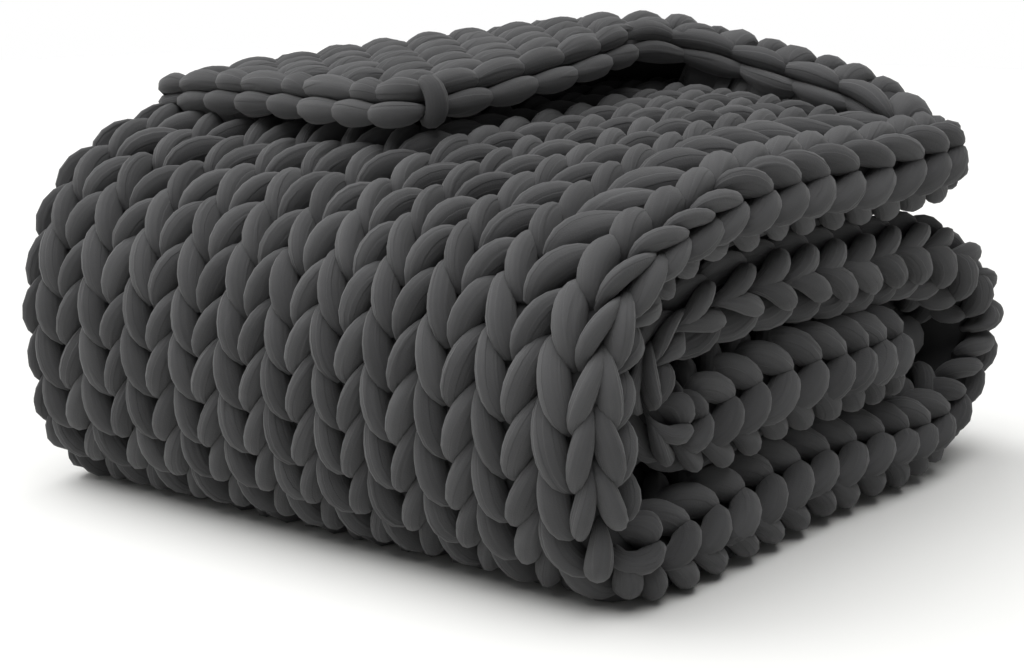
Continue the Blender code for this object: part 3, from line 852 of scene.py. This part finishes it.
def flap_skin(lift):
    """The flap's skin as a grid, station by station from its border over the ridge to its foot, and its places.

    lift is 1 for the purl side, 0 for the middle of the cloth and -1 for the side that faces down."""
    skin, places = [], []
    for ridge_x, ridge_y, ridge_z, edge_x, edge_y, edge_z, thickness in stations:
        half = thickness / 2
        radius = half + FLAP_HOLLOW
        foot = FLAP_FOOT * np.interp(thickness, FOOT_FADES, (SHORT_FOOT, 1))
        ahead = np.array([edge_x - ridge_x, edge_y - ridge_y])
        span = np.linalg.norm(ahead)
        ahead /= span
        top = ridge_z - half
        # From the foot upwards, round the ridge and on along the sheet: how far forward, how high and how far unrolled.
        turn = np.linspace(0, np.pi / 2, RIDGE_STEPS)
        reach = np.linspace(0, span - BORDER_SHARE * half, SHEET_STEPS + 1)[1:]
        forward = np.concatenate([[-radius, -radius], -radius * np.cos(turn), reach])
        height = np.concatenate(
            [
                [top - radius - foot, top - radius - foot / 2],
                top - radius * (1 - np.sin(turn)),
                top + (edge_z + half - top) * (reach / span) ** FLAP_DROOP,
            ]
        )
        unrolled = np.concatenate(
            [-radius * np.pi / 2 - np.array([foot, foot / 2]), -radius * (np.pi / 2 - turn), reach]
        )
        slope = unit(np.column_stack([np.gradient(forward), np.gradient(height)]))
        line = np.column_stack([forward, height]) + lift * half * np.column_stack([-slope[:, 1], slope[:, 0]])
        if lift == 1:
            round_turn = np.linspace(0, BORDER_TURN, BORDER_STEPS + 1)[1:]
            heading = slope[-1]
            upward = np.array([-heading[1], heading[0]])
            centre = np.array([forward[-1], height[-1]])
            rounded = np.outer(np.cos(round_turn), upward) + np.outer(np.sin(round_turn), heading)
            line = np.vstack([line, centre + half * rounded])
            unrolled = np.concatenate([unrolled, reach[-1] + half * round_turn])
        base = np.array([ridge_x, ridge_y])
        skin.append([(*(base + ahead * f), z) for f, z in line[::-1]])
        places.append([(base + ahead * u) / (ROW_PITCH, WALE_PITCH) for u in unrolled[::-1]])
    return np.array(skin), np.array(places)[..., ::-1]


flap_points, flap_places = flap_skin(1)
FLAP_SHIFT = 14  # keeps the flap's wales and rows over nought on its UV map
flap_form = cloth_form("flap_form", flap_points, flap_places + FLAP_SHIFT)

PURL = (
    # place              across     up      height  half width  half depth
    ("left end", -0.0260, -0.0030, -0.0210, 0.0050, 0.0050),
    ("left shoulder", -0.0200, -0.0012, -0.0140, 0.0108, 0.0095),
    ("left cheek", -0.0100, 0.0006, -0.0118, 0.0142, 0.0114),
    ("crown", 0.0000, 0.0012, -0.0112, 0.0150, 0.0118),
    ("right cheek", 0.0100, 0.0006, -0.0118, 0.0142, 0.0114),
    ("right shoulder", 0.0200, -0.0012, -0.0140, 0.0108, 0.0095),
    ("right end", 0.0260, -0.0030, -0.0210, 0.0050, 0.0050),
)
PURL_FACES = (12, 12)
purl_shapes = shape_collection("purl", (PURL, 1, 0.0, 0), (PURL, 1, 0.10, 1.2), (PURL, 1, 0.12, 2.2), faces=PURL_FACES)
PURL_STEP = 0.72  # rows of bumps lie this far apart, in rows of stitches
PURL_UNEVENNESS = 0.13
FLAP_ROWS, FLAP_WALES = (-12, 12), (-4, 13)  # the rows and columns among which the flap lies
ON_FLAP = 0.012  # a bump is on the flap if a point of its skin lies so near
BORDER_POINTS, FOOT_POINTS = 9, 3  # points of each station that the border's round and the foot's end take up
flat_places = flap_places.reshape(-1, 2)
points_across = flap_points.shape[1]
purl_seats = []
for index, row in enumerate(np.arange(*FLAP_ROWS, PURL_STEP)):
    for wale in np.arange(*FLAP_WALES) + 0.5 * (index % 2):
        gap = np.hypot(*((flat_places - (wale, row)) * (WALE_PITCH, ROW_PITCH)).T)
        nearest = int(np.argmin(gap))
        if gap[nearest] < ON_FLAP and BORDER_POINTS <= nearest % points_across <= points_across - FOOT_POINTS:
            shape = int(pick.integers(len(purl_shapes.objects)))
            purl_seats.append((wale + FLAP_SHIFT, row + FLAP_SHIFT, shape, 1.0))
knit("flap_purl_side", purl_seats, flap_form, seed=70, shapes=purl_shapes, unevenness=PURL_UNEVENNESS)

# The sheet behind the bumps, as one soft dark body like that of the slab, in the same painted shade. It ends under the
# last bumps on the left.
BARE_STATIONS = 3
UPPER_LIFT, LOWER_LIFT = 0.3, -0.45
upper, lower = (flap_skin(lift)[0][BARE_STATIONS:] for lift in (UPPER_LIFT, LOWER_LIFT))
rows, count = upper.shape[:2]
shift = rows * count
body_faces = grid_faces(rows, count)
body_faces += [tuple(shift + index for index in reversed(face)) for face in grid_faces(rows, count)]
rim = [*range(count), *[a * count + count - 1 for a in range(1, rows)]]
rim += [*[(rows - 1) * count + b for b in range(count - 2, -1, -1)], *[a * count for a in range(rows - 2, 0, -1)]]
body_faces += [(there, here, shift + here, shift + there) for here, there in zip(rim, rim[1:] + rim[:1])]
body_points = np.concatenate([upper.reshape(-1, 3), lower.reshape(-1, 3)]) + TABLE_ORIGIN
body = closed_piece("flap_inner_loops", body_points, body_faces)
body.data.materials.append(painted_shade_material)
belongs_to_blanket(body)

# ---------------------------------------------------------------------------
# Borders of the turned-back corner: the knit's side edge on the left and its
# cast-off chain on the right, two rows of plump lengths of yarn each, with
# one loop wrapped round the corner. The chain runs on along the lip.
# ---------------------------------------------------------------------------

border = smooth_curve(np.array([row[4:] for row in FLAP]), CURVE_STEP)
border_along = np.concatenate([[0], np.cumsum(np.linalg.norm(np.diff(border[:, :2], axis=0), axis=1))])
border_ahead = unit(np.gradient(border[:, :2], border_along, axis=0))
border_out = np.column_stack([border_ahead[:, 1], -border_ahead[:, 0]])
BORDER_TOP, BORDER_TOP_SLOPE = 0.040, 0.10  # the form runs on over the sheet for this far, rising at this slope
BORDER_UNDER = 165  # and under it for so many degrees round the edge
EDGE_STEPS, TOP_STEPS = 12, 8
border_points, border_places = [], []
for (x, y, z, thickness), out, along in zip(border, border_out, border_along):
    half = thickness / 2
    turn = np.linspace(np.radians(BORDER_UNDER), 0, EDGE_STEPS)
    inward = np.linspace(0, BORDER_TOP, TOP_STEPS + 1)[1:]
    reach = np.concatenate([half * np.sin(turn), -inward]) - BORDER_SHARE * half
    rise = np.concatenate([half * np.cos(turn), half + BORDER_TOP_SLOPE * inward])
    across = np.concatenate([-half * turn, inward])
    border_points.append([(*(np.array([x, y]) + out * r), z + half + h) for r, h in zip(reach, rise)])
    border_places.append([(a / WALE_PITCH, along / ROW_PITCH) for a in across])
BORDER_SHIFT = np.array([4, 1])  # keeps the border's wales and rows over nought on its UV map
border_form = cloth_form("border_form", np.array(border_points), np.array(border_places) + BORDER_SHIFT)

BEAD = (
    # place                  across     up      height  half width  half depth
    ("blunt end", 0.0000, 0.0265, -0.0170, 0.0060, 0.0050),
    ("blunt shoulder", 0.0000, 0.0220, -0.0110, 0.0118, 0.0100),
    ("belly", 0.0005, 0.0100, -0.0085, 0.0146, 0.0124),
    ("belly", 0.0005, -0.0050, -0.0095, 0.0142, 0.0120),
    ("slim shoulder", 0.0000, -0.0190, -0.0145, 0.0110, 0.0100),
    ("tucked end", -0.0005, -0.0290, -0.0240, 0.0050, 0.0050),
)
BEAD_BACK = tuple((place, across, -up, *rest) for place, across, up, *rest in BEAD)
CORNER_LOOP = (
    # place                  across     up      height  half width  half depth
    ("under the edge", -0.0300, 0.0000, -0.0060, 0.0060, 0.0050),
    ("lower side", -0.0200, 0.0000, 0.0000, 0.0085, 0.0070),
    ("side", -0.0050, 0.0000, 0.0015, 0.0090, 0.0075),
    ("upper side", 0.0080, 0.0000, -0.0010, 0.0085, 0.0070),
    ("tucked in above", 0.0170, 0.0000, -0.0120, 0.0050, 0.0050),
)
BEADS, BEADS_BACK, LOOP = (0, 1), (2, 3), 4  # their numbers in the collection
border_shapes = shape_collection(
    "border",
    (BEAD, 1, 0.0, 0),
    (BEAD, 1, 0.10, 1.2),
    (BEAD_BACK, 1, 0.0, 0),
    (BEAD_BACK, 1, 0.10, 2.0),
    (CORNER_LOOP, 1, 0.0, 0),
)
corner_x, corner_y = next(row[4:6] for row in FLAP if row[0] == "corner")
corner = border_along[np.argmin(np.hypot(border[:, 0] - corner_x, border[:, 1] - corner_y))]
UPPER_ROW, LOWER_ROW = -0.008, -0.037  # where the border's two rows lie across it, from the start of its round
LOOP_ACROSS, LOOP_PAST_CORNER = -0.020, 0.022
# The side edge goes left from the corner. Its upper stitches are long and short in turn.
SIDE_BEADS, SIDE_STRETCH, SIDE_LOWER_BACK = 8, (1.2, 0.78), 0.006
# The chain goes along the other edge and the lip, and its lower row lies a little further on.
CHAIN_BEADS, CHAIN_START, CHAIN_PITCH = 10, 0.048, 0.049
CHAIN_STRETCH, CHAIN_LOWER_STRETCH, CHAIN_LOWER_ON = 1.1, 1.15, 0.008
lengths = []
for k in range(SIDE_BEADS):
    along = corner - k * ROW_PITCH
    lengths.append((UPPER_ROW, along, BEADS[pick.integers(len(BEADS))], SIDE_STRETCH[k % 2]))
    lengths.append((LOWER_ROW, along - SIDE_LOWER_BACK, BEADS[pick.integers(len(BEADS))], 1.0))
for k in range(CHAIN_BEADS):
    along = corner + CHAIN_START + k * CHAIN_PITCH
    lengths.append((UPPER_ROW, along, BEADS_BACK[pick.integers(len(BEADS_BACK))], CHAIN_STRETCH))
    lengths.append((LOWER_ROW, along + CHAIN_LOWER_ON, BEADS_BACK[pick.integers(len(BEADS_BACK))], CHAIN_LOWER_STRETCH))
lengths.append((LOOP_ACROSS, corner + LOOP_PAST_CORNER, LOOP, 1.0))
border_seats = [
    (across / WALE_PITCH + BORDER_SHIFT[0], along / ROW_PITCH + BORDER_SHIFT[1], shape, stretch)
    for across, along, shape, stretch in lengths
]
knit("flap_border", border_seats, border_form, seed=80, shapes=border_shapes, unevenness=0.05)

# ---------------------------------------------------------------------------
# The helpers that hold nothing of the blanket go.
# ---------------------------------------------------------------------------

for shapes in (left_end_shapes, front_shapes, rear_shapes, right_end_shapes, purl_shapes, border_shapes):
    for shape in list(shapes.objects):
        bpy.data.objects.remove(shape, do_unlink=True)
    bpy.data.collections.remove(shapes)
for helper in (slab_form, flap_form, border_form):
    bpy.data.objects.remove(helper, do_unlink=True)
